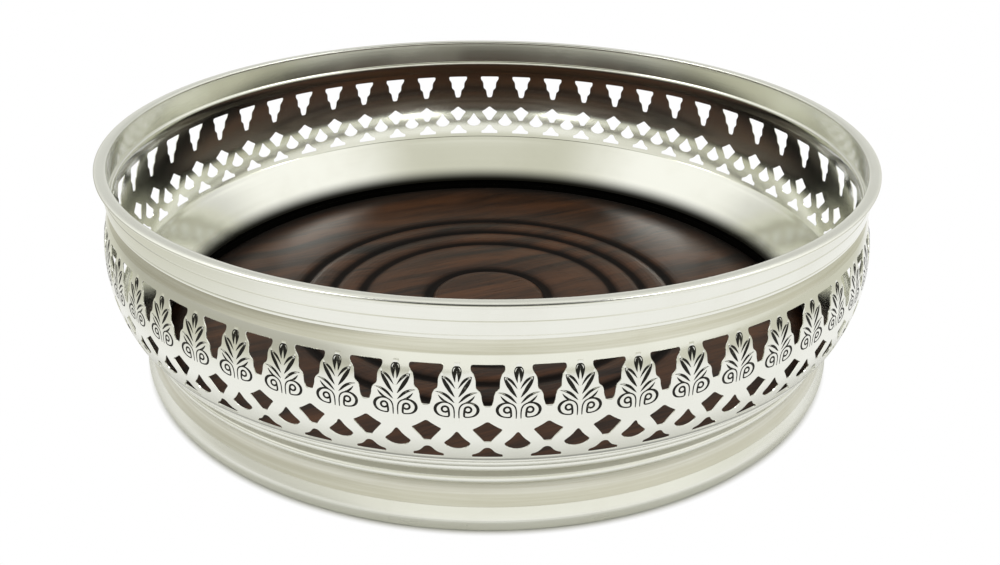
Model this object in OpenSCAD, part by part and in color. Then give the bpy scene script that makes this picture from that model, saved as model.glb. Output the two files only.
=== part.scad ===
// Wine bottle coaster: a pierced silver-plated gallery on a spun foot,
// with a turned wooden floor and a baize pad underneath.
// Millimetres, +Z up, origin on the axis at the surface that it stands on.

/* [Pierced wall] */
// Widest outside diameter of the wall
gallery_d = 134; // [126:0.5:146]
// Height of the swelling part, from its lower edge to the shoulder
gallery_h = 16; // [15.6:0.1:18]
// How far the wall swells past its two ends
bulge = 1.5; // [1:0.1:2.5]
// Thickness of the wall's sheet
gallery_t = 0.75; // [0.5:0.05:1]
// Height of the plain neck above the shoulder
neck_h = 2.2; // [1.6:0.1:3]
// How far the neck draws in under its flange
neck_inset = 0.7; // [0.3:0.05:1]
// Thickness of the flange that carries the rim border
flange_t = 0.6; // [0.4:0.05:1]
// How far the ledge under the border reaches inside the wall
ledge_reach = 0.75; // [0.4:0.05:1]

/* [Piercing] */
// Number of palmettes round the wall, with one set of openings each
motif_count = 54; // [48:1:55]
// Width of the opening between two palmettes
leaf_gap_w = 4.3; // [3:0.1:4.6]
// Height of the opening between two palmettes
leaf_gap_h = 5.3; // [4:0.1:6]
// Bar of metal between that opening and the shoulder
leaf_gap_bar = 1.15; // [0.8:0.05:1.4]
// Width of the diamond under each of those openings
diamond_w = 3.66; // [2.6:0.02:3.9]
// Height of the diamond
diamond_h = 3; // [2.2:0.1:3.2]
// Top of the diamond above the wall's lower edge
diamond_top = 6.7; // [6.4:0.1:7]
// Width of the drop under each palmette
drop_w = 3.3; // [2.2:0.1:3.5]
// Height of the drop
drop_h = 2.8; // [2:0.1:3]
// Top of the drop above the wall's lower edge
drop_top = 5.1; // [4.8:0.1:5.3]
// Width of the flat triangle under each diamond
tent_w = 4; // [2.6:0.1:4.2]
// Height of the flat triangle
tent_h = 1.6; // [1.2:0.1:1.7]
// Top of the flat triangle above the wall's lower edge
tent_top = 2.2; // [2:0.05:2.4]

/* [Rim] */
// Height of the plain border under the rim wire
border_h = 3.1; // [2.4:0.1:5]
// Thickness of the border
border_t = 1.05; // [0.95:0.05:1.3]
// How far the border stands proud of the flange under it
border_proud = 0.1; // [0:0.05:0.3]
// Height of the border's incised line above its lower edge
border_line_h = 2; // [1:0.1:2.2]
// Width of the incised line
border_line_w = 0.24; // [0.1:0.02:0.4]
// Depth of the incised line
border_line_depth = 0.15; // [0.05:0.01:0.3]
// Diameter of the rim wire
rim_wire_d = 1.8; // [1.6:0.05:2]
// Depth of the flat on which the rim wire is seated
rim_wire_flat = 0.2; // [0.1:0.02:0.3]
// How far the rim wire overhangs the border
rim_wire_proud = 0.8; // [0.75:0.01:0.9]

/* [Foot] */
// Height of the wall's lower edge above the table
foot_h = 14.5; // [12:0.1:17]
// How far the narrowest inside of the foot lies inside the wall's edge
well_inset = 4.9; // [4.6:0.1:5.5]
// Thickness of the foot's sheet
skirt_t = 0.6; // [0.5:0.05:0.8]
// Thickness of the flange at the top of the foot
skirt_flange_t = 0.5; // [0.3:0.05:0.8]
// How far that flange lies inside the wall's edge
skirt_flange_inset = 0.3; // [0.1:0.05:0.5]
// How far the foot's sheet lies inside the wall's edge under its flange
shoulder_inset = 1.2; // [1:0.05:1.4]
// How far the waist lies inside the wall's edge
waist_inset = 3.4; // [3.1:0.05:3.6]
// How far the waist lies below the wall's edge
waist_drop = 4.3; // [3.9:0.1:4.6]
// Diameter of each reed round the waist
reed_d = 1.5; // [1.2:0.05:1.6]
// Spacing of the two reeds up the foot
reed_pitch = 1.4; // [1.1:0.05:1.45]
// Diameter of the bead under the waist
bead_d = 1.4; // [1:0.05:1.5]
// How far the bead's middle lies below the wall's edge
bead_drop = 5.8; // [5.6:0.05:6]
// Narrowest line of the hollow, as a share of the way up from the foot wire to the bead
hollow_share = 0.565; // [0.5:0.005:0.65]
// How far the foot spreads below that line
foot_flare = 0.65; // [0.4:0.05:0.9]
// Diameter of the wire round the foot's edge
foot_wire_d = 1.9; // [1.6:0.05:2.1]
// Height of the foot wire's top above the table
foot_wire_top = 3.4; // [3.2:0.05:3.8]
// Gap under the foot, which the pad bridges
foot_lift = 0.3; // [0.1:0.05:0.5]

/* [Floor] */
// Thickness of the baize pad
pad_t = 1; // [0.8:0.05:1.4]
// Thickness of the ring that carries the wooden floor
ring_t = 0.8; // [0.6:0.05:1]
// Width of that ring
ring_w = 8.5; // [6.5:0.1:12]
// Width of the lip under the ring
lip_w = 1.2; // [0.8:0.05:1.6]
// Height of the wooden floor above the table
floor_z = 4; // [3.8:0.05:4.6]
// Width of the sunk edge of the wood
gutter_w = 3.1; // [2:0.1:4]
// Depth of the sunk edge of the wood
gutter_depth = 1.5; // [0.8:0.05:1.6]
// Diameter of the raised boss in the middle
boss_d = 21; // [16:0.5:24]
// Height of the boss over the floor
boss_h = 0.4; // [0.2:0.05:0.8]
// Diameter of the largest turned groove
groove_d = 73.6; // [70:0.2:84]
// Spacing of the turned grooves
groove_pitch = 6; // [4:0.1:7]
// Number of turned grooves
groove_count = 3; // [1:1:4]
// Width of a turned groove
groove_w = 2; // [1:0.1:3]
// Depth of a turned groove
groove_depth = 0.6; // [0.3:0.05:0.9]

/* [Fixings] */
// Number of screws that hold the wood
screw_count = 4; // [3:1:8]
// Diameter of a screw's shank
screw_d = 1.6; // [1.2:0.1:2]
// Diameter of a screw's countersunk head
screw_head_d = 3.2; // [2.6:0.1:3.6]
// Length of a screw
screw_l = 2.2; // [1.8:0.1:2.3]

/* [Hidden] */
// Gap between the wood or the pad and the metal round it
floor_gap = 0.3;
// Gap round a soldered or screwed piece
fit_gap = 0.05;
// How far a cutting shape runs past what it cuts
overrun = 1;
// Angle of the first opening, which faces the front
front_angle = -90;
// Fineness of round shapes
$fn = 96;
// Steps in each curve of a section
arc_steps = 6;

// Radii, from the wall outwards and inwards
gallery_r = gallery_d / 2;
edge_r = gallery_r - bulge;
neck_r = edge_r - neck_inset;
border_r = edge_r + border_proud;
border_in_r = border_r - border_t;
rim_wire_r = border_r + rim_wire_proud - rim_wire_d / 2;
well_r = edge_r - well_inset;
hollow_r = well_r + skirt_t;
foot_top_r = hollow_r + foot_flare;
waist_r = edge_r - waist_inset;
shoulder_r = edge_r - shoulder_inset;
foot_wire_r = foot_top_r + foot_wire_d / 5;
ring_r = well_r;
ring_seat_r = ring_r + floor_gap;
ring_in_r = ring_r - ring_w;
lip_r = ring_r - lip_w;
wood_r = well_r - floor_gap;
pad_r = lip_r - floor_gap;
spigot_r = ring_in_r - floor_gap;
screw_ring_r = (ring_in_r + lip_r) / 2;

// Heights, from the table up
wood_z = pad_t + ring_t;
wall_z = foot_h;
shoulder_z = wall_z + gallery_h;
flange_z = shoulder_z + neck_h;
border_z = flange_z + flange_t;
rim_wire_seat_z = border_z + border_h;
rim_wire_z = rim_wire_seat_z - rim_wire_flat + rim_wire_d / 2;
skirt_flange_z = wall_z - skirt_flange_t;
reed_z = skirt_flange_z - reed_d / 2;
waist_z = wall_z - waist_drop;
bead_z = wall_z - bead_drop;
bead_low_z = bead_z - bead_d / 2;
hollow_z = foot_wire_top + hollow_share * (bead_low_z - foot_wire_top);
foot_wire_z = foot_wire_top - foot_wire_d / 2;

// Arcs: the wall's swelling and the hollow of the foot
bulge_rad = (pow(gallery_h / 2, 2) + pow(bulge, 2)) / (2 * bulge);
bulge_r = gallery_r - bulge_rad;
bulge_z = wall_z + gallery_h / 2;
hollow_rise = hollow_z - foot_wire_top;
hollow_rad = (pow(hollow_rise, 2) + pow(foot_flare, 2)) / (2 * foot_flare);
groove_rad = (pow(groove_w / 2, 2) + pow(groove_depth, 2)) / (2 * groove_depth);

// Half outlines of the openings: shares of the half width, and of the height from the top down
leaf_gap_shares = [[0.95, 0], [1, 0.08], [0.75, 0.27], [0.7, 0.4], [0.67, 0.54], [0.4, 0.66],
    [0.32, 0.83], [0.14, 1]];
diamond_shares = [[0.06, 0], [1, 0.37], [0.25, 1]];
drop_shares = [[0.06, 0], [1, 0.66], [0.7, 0.93], [0.2, 1]];
tent_shares = [[0.15, 0], [0.5, 0.5], [1, 0.8], [0.97, 1]];

SILVER = "#e4e1d6";
WOOD = "#4b362a";
BRASS = "#b3924f";
BAIZE = "#27492f";

// Radius of the sloping outside of the foot at a height
function slope_r(z) =
    waist_r + (shoulder_r - waist_r) * (z - waist_z) / (skirt_flange_z - waist_z);

// Radius of the swelling wall at a height, on an arc of the given size
function swell_r(arc_rad, z) = bulge_r + sqrt(pow(arc_rad, 2) - pow(z - bulge_z, 2));

// Radius of the hollow of the foot at a height
function hollow_at(z) = hollow_r + hollow_rad - sqrt(pow(hollow_rad, 2) - pow(z - hollow_z, 2));

// A whole outline from the shares of its right half
function outline(shares, w, h, top) = concat(
    [for (s = shares) [s[0] * w / 2, top - s[1] * h]],
    [for (i = [len(shares) - 1 : -1 : 0]) [-shares[i][0] * w / 2, top - shares[i][1] * h]]);

// A row of openings through the wall, shifted round by a share of their spacing
module piercing(points, shift_share) {
    depth = gallery_r - neck_r + gallery_t + 2 * overrun;
    for (i = [0 : motif_count - 1])
        rotate([0, 0, front_angle + (i + shift_share) * 360 / motif_count])
            translate([gallery_r + overrun - depth, 0, 0])
                rotate([90, 0, 90])
                    linear_extrude(depth)
                        polygon(points);
}

// Half section of the wall: swelling, neck and flange
module wall_section() {
    heights = [for (i = [0 : arc_steps]) wall_z + gallery_h * i / arc_steps];
    polygon(concat(
        [for (z = heights) [swell_r(bulge_rad, z), z]],
        [[neck_r, flange_z], [edge_r, flange_z], [edge_r, border_z], [border_in_r, border_z],
            [swell_r(bulge_rad - gallery_t, shoulder_z) - ledge_reach, flange_z - gallery_t]],
        [for (i = [arc_steps : -1 : 0]) [swell_r(bulge_rad - gallery_t, heights[i]), heights[i]]]));
}

module rim_wire() {
    color(SILVER)
        rotate_extrude()
            difference() {
                translate([rim_wire_r, rim_wire_z])
                    circle(d = rim_wire_d);
                translate([rim_wire_r - rim_wire_d, rim_wire_seat_z - rim_wire_d])
                    square([2 * rim_wire_d, rim_wire_d]);
            }
}

module rim_border() {
    line_z = border_z + border_line_h;
    color(SILVER)
        rotate_extrude()
            polygon([[border_in_r, border_z], [border_r, border_z], [border_r, line_z - border_line_w / 2],
                [border_r - border_line_depth, line_z], [border_r, line_z + border_line_w / 2],
                [border_r, rim_wire_seat_z], [border_in_r, rim_wire_seat_z]]);
}

module gallery() {
    color(SILVER)
        difference() {
            rotate_extrude()
                wall_section();
            piercing(outline(leaf_gap_shares, leaf_gap_w, leaf_gap_h, shoulder_z - leaf_gap_bar), 0);
            piercing(outline(diamond_shares, diamond_w, diamond_h, wall_z + diamond_top), 0);
            piercing(outline(drop_shares, drop_w, drop_h, wall_z + drop_top), 1 / 2);
            piercing(outline(tent_shares, tent_w, tent_h, wall_z + tent_top), 0);
        }
}

module waist_reeds() {
    step = 90 / arc_steps;
    color(SILVER)
        rotate_extrude()
            difference() {
                for (z = [reed_z, reed_z - reed_pitch])
                    translate([slope_r(z), z])
                        polygon([for (a = [0 : step : 360 - step]) reed_d / 2 * [cos(a), sin(a)]]);
                polygon([[well_r, waist_z - overrun], [slope_r(waist_z - overrun) + fit_gap, waist_z - overrun],
                    [slope_r(wall_z) + fit_gap, wall_z], [well_r, wall_z]]);
            }
}

module foot_skirt() {
    color(SILVER)
        rotate_extrude()
            polygon(concat(
                [[edge_r - skirt_flange_inset, wall_z], [edge_r - skirt_flange_inset, skirt_flange_z],
                    [shoulder_r, skirt_flange_z], [waist_r, waist_z]],
                [for (i = [0 : arc_steps]) let (a = 90 - 180 * i / arc_steps)
                    [waist_r - bead_d / 4 + bead_d / 2 * cos(a), bead_z + bead_d / 2 * sin(a)]],
                [for (i = [0 : arc_steps]) let (z = bead_low_z + (foot_wire_top - bead_low_z) * i / arc_steps)
                    [hollow_at(z), z]],
                [[foot_top_r - skirt_t, foot_wire_top], [well_r, hollow_z], [well_r, bead_low_z],
                    [waist_r - skirt_t, waist_z], [slope_r(wall_z) - skirt_t, wall_z]]));
}

module foot_wire() {
    color(SILVER)
        rotate_extrude() {
            translate([foot_wire_r, foot_wire_z])
                circle(d = foot_wire_d);
            polygon([[lip_r, foot_lift], [foot_wire_r, foot_lift], [foot_wire_r + foot_wire_d / 4, foot_wire_z],
                [foot_wire_r, foot_wire_top], [ring_seat_r, foot_wire_top], [ring_seat_r, pad_t], [lip_r, pad_t]]);
        }
}

// One screw, point up, with room added round it
module screw(room) {
    rotate_extrude()
        polygon([[0, 0], [screw_head_d / 2 + room, 0], [screw_d / 2 + room, ring_t],
            [screw_d / 2 + room, screw_l + room], [0, screw_l + room]]);
}

module screw_ring(room) {
    for (i = [0 : screw_count - 1])
        rotate([0, 0, i * 360 / screw_count])
            translate([screw_ring_r, 0, pad_t])
                screw(room);
}

module base_ring() {
    color(SILVER)
        difference() {
            rotate_extrude()
                translate([ring_in_r, pad_t])
                    square([ring_w, ring_t]);
            screw_ring(fit_gap);
        }
}

module turned_base() {
    boss_r = boss_d / 2;
    color(WOOD)
        difference() {
            rotate_extrude()
                difference() {
                    polygon([[0, pad_t], [spigot_r, pad_t], [spigot_r, wood_z], [wood_r, wood_z],
                        [wood_r, floor_z - gutter_depth], [wood_r - gutter_w, floor_z],
                        [boss_r + groove_w / 2, floor_z], [boss_r, floor_z + boss_h], [0, floor_z + boss_h]]);
                    translate([boss_r + groove_w / 2, floor_z + groove_rad - groove_depth])
                        circle(groove_rad);
                    for (i = [0 : groove_count - 1])
                        translate([groove_d / 2 - i * groove_pitch, floor_z + groove_rad - groove_depth])
                            circle(groove_rad);
                }
            screw_ring(fit_gap);
        }
}

module base_screws() {
    color(BRASS)
        screw_ring(0);
}

module baize_pad() {
    color(BAIZE)
        cylinder(h = pad_t, r = pad_r);
}

rim_wire();
rim_border();
gallery();
waist_reeds();
foot_skirt();
foot_wire();
base_ring();
turned_base();
base_screws();
baize_pad();
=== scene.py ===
"""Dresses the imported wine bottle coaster: pierced silver wall, moulded foot, turned floor and felt pad."""

import math

import bmesh
import bpy
import numpy as np
from bpy.props import FloatProperty, FloatVectorProperty, IntProperty, PointerProperty
from mathutils import Matrix, Vector
from mathutils.geometry import delaunay_2d_cdt


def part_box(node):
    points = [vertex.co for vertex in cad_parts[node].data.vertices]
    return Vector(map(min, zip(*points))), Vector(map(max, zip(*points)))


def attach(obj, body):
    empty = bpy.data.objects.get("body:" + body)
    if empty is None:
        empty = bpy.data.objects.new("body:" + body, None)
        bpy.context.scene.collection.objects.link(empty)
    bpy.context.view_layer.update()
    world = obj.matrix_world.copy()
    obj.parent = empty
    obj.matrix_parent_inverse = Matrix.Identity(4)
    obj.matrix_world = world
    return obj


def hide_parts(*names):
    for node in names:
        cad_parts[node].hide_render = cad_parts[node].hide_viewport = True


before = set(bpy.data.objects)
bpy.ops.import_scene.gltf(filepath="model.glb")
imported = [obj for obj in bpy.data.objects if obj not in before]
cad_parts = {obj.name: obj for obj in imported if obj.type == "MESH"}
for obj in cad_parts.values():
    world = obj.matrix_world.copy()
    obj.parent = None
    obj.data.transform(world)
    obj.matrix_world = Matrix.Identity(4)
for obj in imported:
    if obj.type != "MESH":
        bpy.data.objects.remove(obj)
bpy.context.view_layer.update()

bl_info = {
    "name": "Wine Bottle Coaster",
    "version": (1, 0, 0),
    "blender": (4, 5, 0),
    "location": "View3D > Sidebar > Coaster",
    "description": "Builds a pierced wine bottle coaster, its finishes and its stage",
    "category": "Add Mesh",
}

MM = 0.001
WHITE = (1, 1, 1, 1)
WALL_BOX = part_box("gallery")
BORDER_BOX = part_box("rim_border")
WOOD_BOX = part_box("turned_base")
PAD_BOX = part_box("baize_pad")

# Half outlines of the openings, from the top to the foot: shares of the half width and of the height
LEAF_GAP_SHARES = [
    (0, 0), (0.4, 0), (0.86, 0), (0.94, 0.008), (0.986, 0.027), (1, 0.057), (0.986, 0.113), (0.92, 0.175),
    (0.81, 0.232), (0.745, 0.285), (0.705, 0.35), (0.698, 0.425), (0.688, 0.5), (0.66, 0.552), (0.58, 0.594),
    (0.465, 0.632), (0.396, 0.68), (0.36, 0.736), (0.348, 0.802), (0.325, 0.858), (0.28, 0.915), (0.245, 0.962),
    (0.205, 0.99), (0.14, 1), (0, 1),
]
DIAMOND_SHARES = [
    (0, 0), (0.09, 0.01), (0.165, 0.043), (0.44, 0.157), (0.71, 0.26), (0.92, 0.327), (0.984, 0.36), (1, 0.387),
    (0.973, 0.423), (0.71, 0.61), (0.44, 0.817), (0.317, 0.927), (0.262, 0.977), (0.207, 1), (0, 1),
]
DROP_SHARES = [
    (0, 0), (0.06, 0.01), (0.15, 0.07), (0.36, 0.25), (0.6, 0.41), (0.85, 0.543), (0.97, 0.614), (1, 0.668),
    (0.97, 0.732), (0.85, 0.82), (0.6, 0.92), (0.3, 0.982), (0, 1),
]
TENT_SHARES = [
    (0, 0), (0.1, 0.012), (0.21, 0.075), (0.31, 0.2), (0.425, 0.36), (0.575, 0.51), (0.75, 0.61), (0.925, 0.675),
    (0.98, 0.725), (1, 0.81), (1, 0.9), (0.965, 0.98), (0.9, 1), (0.6, 1), (0.3, 1), (0, 1),
]

# Graver strokes of a palmette's right half: place from its axis, height over the wall's lower edge, half width, in mm
BUD_STROKE = [
    (0.19, 12.62, 0.02), (0.235, 12.85, 0.085), (0.285, 13.15, 0.15), (0.31, 13.5, 0.235), (0.31, 13.8, 0.3),
    (0.3, 14.1, 0.31), (0.26, 14.34, 0.27), (0.18, 14.5, 0.19), (0.09, 14.6, 0.09),
]
LEAF_STROKES = [
    [(1.8, 13.37, 0.03), (1.52, 13.27, 0.1), (1.2, 13.06, 0.16), (0.9, 12.8, 0.175), (0.62, 12.45, 0.14),
     (0.38, 12.1, 0.08), (0.2, 11.8, 0.02)],
    [(1.82, 13.38, 0.04), (1.72, 13.1, 0.14), (1.52, 12.68, 0.22), (1.3, 12.3, 0.26), (1.08, 11.95, 0.26),
     (0.85, 11.55, 0.23), (0.6, 11.18, 0.17), (0.38, 10.85, 0.09), (0.24, 10.65, 0.03)],
    [(2.52, 11.32, 0.03), (2.2, 11.28, 0.09), (1.84, 11.16, 0.15), (1.5, 11, 0.18), (1.2, 10.8, 0.19),
     (0.9, 10.53, 0.17), (0.62, 10.22, 0.13), (0.4, 9.98, 0.07), (0.26, 9.83, 0.02)],
    [(2.24, 10.84, 0.04), (2.02, 10.54, 0.11), (1.77, 10.27, 0.15), (1.47, 10.03, 0.14), (1.17, 9.93, 0.1)],
]
SCROLL_STROKE = [
    (0.3, 7.58, 0.06), (0.29, 8, 0.08), (0.29, 8.45, 0.09), (0.32, 8.85, 0.09), (0.41, 9.22, 0.1),
    (0.59, 9.52, 0.1), (0.83, 9.72, 0.1), (1.13, 9.85, 0.1), (1.46, 9.9, 0.11), (1.8, 9.87, 0.13),
    (2.12, 9.74, 0.16), (2.4, 9.52, 0.19), (2.58, 9.25, 0.2), (2.66, 8.95, 0.2), (2.62, 8.62, 0.19),
    (2.48, 8.32, 0.17), (2.26, 8.08, 0.14), (1.98, 7.92, 0.11), (1.65, 7.83, 0.1), (1.32, 7.79, 0.1),
    (1.06, 7.8, 0.11), (0.94, 7.92, 0.13), (0.93, 8.2, 0.14), (0.95, 8.5, 0.14),
]
EYE_CENTRE = (1.42, 8.9)
EYE_RADIUS = 0.415
EYE_HALF_WIDTH = 0.145
EYE_FIRST_ANGLE, EYE_LAST_ANGLE, EYE_STEPS = 180, -145, 14
# Painted highlights: spots near the strokes' tips that stay bare silver, not blackened, and stand for glints on the
# graver cut's facets
PAINTED_GLINT_STROKES = [
    [(0.44, 13.95, 0.02), (0.42, 14.16, 0.05), (0.33, 14.34, 0.05), (0.2, 14.42, 0.02)],
    [(1.6, 12.98, 0.02), (1.69, 13.16, 0.045), (1.66, 13.27, 0.05), (1.52, 13.26, 0.04), (1.36, 13.17, 0.015)],
    [(2.3, 11.28, 0.015), (2.1, 11.25, 0.045), (1.9, 11.17, 0.04), (1.7, 11.05, 0.015)],
]
BLACK_FROM = 0.03

# Half sections of the turned pieces, as radius and height in mm
NECK_OUTSIDE = [
    (65.46, 30.58), (65.3, 30.94), (65.1, 31.4), (64.91, 31.85), (64.77, 32.22), (64.72, 32.45), (64.74, 32.6),
    (64.86, 32.69),
]
FLANGE_EDGE = [(65.36, 32.7), (65.46, 32.74), (65.5, 32.85), (65.5, 33.15), (65.46, 33.26), (65.36, 33.3)]
LEDGE_INSIDE = [
    (64.62, 33.3), (64.5, 33.27), (64.4, 33.18), (64.33, 33.05), (64.3, 32.88), (64.31, 32.7), (64.34, 32.5),
    (64.42, 32.2), (64.58, 31.8), (64.76, 31.35), (64.93, 30.92), (65.08, 30.6),
]
FOOT_INSIDE = [
    (64.86, 14.5), (64.68, 14.17), (64.5, 13.84), (64.2, 13.32), (63.7, 12.42), (63.1, 11.32), (62.5, 10.22),
    (61.93, 9.18), (61.42, 8.24), (60.93, 7.35), (60.44, 6.46), (59.95, 5.57), (59.64, 5),
]
FOOT_RECESS = [(59.66, 4.86), (59.8, 4.66), (60.2, 4.5), (60.8, 4.45), (60.8, 3.4)]
FOOT_TOP = [
    (65.38, 14.5), (65.26, 14.49), (65.12, 14.44), (65.03, 14.35), (65.01, 14.25), (65.04, 14.14), (65.06, 14.02),
    (65.03, 13.9), (64.94, 13.77), (64.78, 13.6), (64.6, 13.4), (64.22, 13.2), (63.84, 12.5), (63.66, 12.18),
]
FOOT_WAIST = [
    (63.3, 11.45), (63.12, 11.05), (62.92, 10.64), (62.72, 10.24), (62.53, 9.86), (62.38, 9.55), (62.27, 9.28),
]
FOOT_HOLLOW = [
    (61.62, 7.86), (61.42, 7.6), (61.32, 7.25), (61.29, 6.9), (61.3, 6.55), (61.35, 6.2), (61.44, 5.85),
    (61.56, 5.5), (61.71, 5.15), (61.88, 4.8), (62.06, 4.45), (62.2, 4.18), (62.3, 4),
]
FOOT_BAND = [
    (62.3, 3.99), (62.44, 3.71), (62.58, 3.43), (62.72, 3.15), (62.855, 2.87), (62.985, 2.585), (63.095, 2.295),
    (63.165, 1.98), (63.15, 1.6), (63.05, 1.2), (62.92, 0.8), (62.76, 0.45), (62.62, 0.2), (62.5, 0.08),
]
WOOD_RIDGE = [
    (0, 3.42), (0.3, 3.44), (0.6, 3.58), (1, 3.77), (1.6, 3.94), (2.4, 4.05), (3.3, 4.08), (4.2, 4.04), (4.9, 3.93),
    (5.4, 3.75), (5.7, 3.56),
]
WOOD_TOP = [
    (0, 4.42), (3, 4.42), (6, 4.41), (8.4, 4.38), (9.4, 4.34), (10, 4.26), (10.35, 4.12), (10.6, 3.9),
    (10.85, 3.65), (11.15, 3.48), (11.5, 3.42), (11.85, 3.46), (12.2, 3.6), (12.6, 3.76), (13.2, 3.89),
    (14.4, 3.98), (16.5, 4.06), (19, 4.1), (21, 4.08), (22.4, 4.02), (23.2, 3.95), (23.7, 3.87), (24.1, 3.72),
    (24.4, 3.54), *((start + out, height) for start in (24.7, 30.7) for out, height in WOOD_RIDGE), (36.7, 3.42),
    (37, 3.44), (37.3, 3.56), (37.7, 3.74), (38.3, 3.9), (39.2, 3.97), (41, 4), (44, 4), (48, 4), (52, 4),
    (55, 3.98), (56.4, 3.9), (57.2, 3.78), (58, 3.55), (59, 3.12), (59.8, 2.7), (60.3, 2.42), (60.78, 2.1),
]

# Arcs of the foot: the reeds' middles with their first and last angles, and the bead's angles, in degrees
REEDS = [((63.866, 13.25), -93, 35), ((63.055, 11.85), -90, 32)]
BEAD_ANGLES = (44, -72)
REED_STEPS, BEAD_STEPS = 18, 16

# Section of the incised line, in its half widths and shares of its depth
LINE_SHAPE = [(-1.2, 0), (-0.75, 0.3), (0, 1), (0.75, 0.3), (1.2, 0)]

# Section of the pad's edge: how far it lies inside the pad's radius in mm, and shares of the thickness
PAD_EDGE = [(0.35, 1), (0.1, 0.9), (0, 0.6), (0.02, 0.35), (0.12, 0.12), (0.4, 0)]

# Lengths in mm that round an edge, part two pieces or pick the faces of one
BORDER_ROUNDING = 0.12
BORDER_UNDER_WIRE = 0.2
BAND_CLEARANCE = 0.01
FACE_MARGIN = 0.02
FRAYED_EDGE = 0.5

# Bands of the silver: heights in metres between which each fades in, and between which it fades out again. The neck,
# hollow and waist bands carry tarnish, and the waist band also carries painted shade. The floor gap, reed crease and
# wall edge bands carry painted shade: a darkening towards black where shadow falls.
NECK_BAND = (0.0304, 0.03065, 0.03255, 0.0327)
HOLLOW_BAND = (0.00398, 0.00402, 0.0077, 0.0079)
WAIST_BAND = (0.00922, 0.0094, 0.0106, 0.0114)
FLOOR_GAP_SHADE_BAND = (0.0034, 0.0036, 0.0052, 0.0083)
REED_CREASE_SHADE_BAND = (0.01208, 0.0122, 0.0125, 0.0126)
WALL_EDGE_SHADOW_BAND = (0.0143, 0.0145, 0.01475, 0.01505)

# Heights, radii or places in metres between which a mask of the silver or the wood fades in; the groove and wood edge
# masks place the wood's painted shade
FOOT_TOP_HEIGHTS = (0.0142, 0.0145)
RIM_HEIGHTS = (0.0368, 0.0374)
NECK_RADII = (0.0646, 0.0647)
HOLLOW_RADII = (0.0612, 0.06124)
GROOVE_SHADE_HEIGHTS = (0.0036, 0.00409)
GROOVE_SHADE_RADII = (0.042, 0.05)
WOOD_EDGE_SHADE_RADII = (0.0494, 0.0578)
FAR_EDGE_SHADE_PLACES = (-0.01, 0.03)

# Cones that part the silver: how much the radius grows with the height, and the radii of the fade at no height
OUTSIDE_CONE = (0.546, 0.05694, 0.05704)
INSIDE_CONE = (0.2, 0.05972, 0.05978)
WALL_EDGE_SHADOW_CONE = (0.38, 0.05985, 0.05995)


def length_value(name, description, default):
    """A property for one length."""
    return FloatProperty(name=name, description=description, default=default, unit="LENGTH")


def lengths_value(name, description, default):
    """A property for three lengths."""
    return FloatVectorProperty(
        name=name, description=description, default=default, size=3, unit="LENGTH", precision=5)


def angle_value(name, description, default):
    """A property for an angle."""
    return FloatProperty(name=name, description=description, default=default, unit="ROTATION")


def colour_value(name, description, default):
    """A property for a colour."""
    return FloatVectorProperty(
        name=name, description=description, default=default, size=3, subtype="COLOR", min=0, max=1)


class WallSizes(bpy.types.PropertyGroup):
    """Sizes of the pierced wall"""

    motif_count: IntProperty(name="Palmettes", description="Number of palmettes round the wall", default=54, min=12)
    widest_radius: length_value("Widest radius", "Radius of the wall where it swells most", 0.067)
    bulge: length_value("Swelling", "How far the wall swells past its ends", 0.0015)
    lower_edge: length_value("Lower edge", "Height of the wall's lower edge", WALL_BOX[0].z)
    height: length_value("Height", "Height of the swelling part", 0.016)
    sheet: length_value("Sheet", "Thickness of the wall's sheet", 0.00017)
    edge: length_value("Edge", "Width of the bevel round each opening", 0.00004)
    engraving: length_value("Engraving", "Depth of the widest graver strokes", 0.0001)
    leaf_gap: lengths_value(
        "Gap between palmettes", "Width, height and top over the lower edge", (0.0043, 0.00546, 0.01485))
    diamond: lengths_value("Diamond", "Width, height and top over the lower edge", (0.00368, 0.00334, 0.00704))
    drop: lengths_value("Drop", "Width, height and top over the lower edge", (0.0033, 0.00308, 0.00538))
    tent: lengths_value("Flat triangle", "Width, height and top over the lower edge", (0.004, 0.002, 0.00262))


class RimSizes(bpy.types.PropertyGroup):
    """Sizes of the rim"""

    border_radius: length_value("Border radius", "Outside radius of the plain border", 0.0656)
    border_sheet: length_value("Border sheet", "Thickness of the border", 0.00085)
    border_lean: length_value("Border lean", "How far the border's inside leans in at its top", 0.00003)
    line_height: length_value("Line", "Height of the incised line over the border's lower edge", 0.002)
    line_width: length_value("Line width", "Width of the incised line", 0.00018)
    line_depth: length_value("Line depth", "Depth of the incised line", 0.00006)
    wire_width: length_value("Rim wire width", "Width of the flattened rim wire", 0.0019)
    wire_thickness: length_value("Rim wire thickness", "Thickness of the flattened rim wire", 0.00068)
    wire_squareness: FloatProperty(
        name="Rim wire squareness", description="How square the wire's section is; 2 is an ellipse", default=2.7, min=2)
    wire_radius: length_value("Rim wire radius", "Radius of the ring that the rim wire makes", 0.06554)
    wire_height: length_value("Rim wire height", "Height of the rim wire's middle", 0.03768)


class FootSizes(bpy.types.PropertyGroup):
    """Sizes of the foot"""

    reed_diameter: length_value("Reed", "Diameter of each reed round the waist", 0.0015)
    bead_diameter: length_value("Bead", "Diameter of the bead under the waist", 0.0014)
    bead_radius: length_value("Bead radius", "Radius of the ring that the bead makes", 0.06175)
    bead_height: length_value("Bead height", "Height of the bead's middle", 0.0087)
    lip_radius: length_value("Lip", "Inside radius of the lip under the foot", 0.0594)


class FloorSizes(bpy.types.PropertyGroup):
    """Sizes of the wooden floor and its pad"""

    spigot_radius: length_value("Spigot", "Radius of the wood inside its carrying ring", 0.0518)
    spigot_height: length_value("Spigot height", "Height of the shoulder over the ring", 0.0018)
    grain_angle: angle_value("Grain", "Direction of the grain across the floor", math.radians(25))
    pad_fray: length_value("Fray", "How far the pad's cut edge wanders", 0.00012)
    pad_wave: length_value("Wave", "How far the pad's underside lifts in waves", 0.00003)


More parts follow.
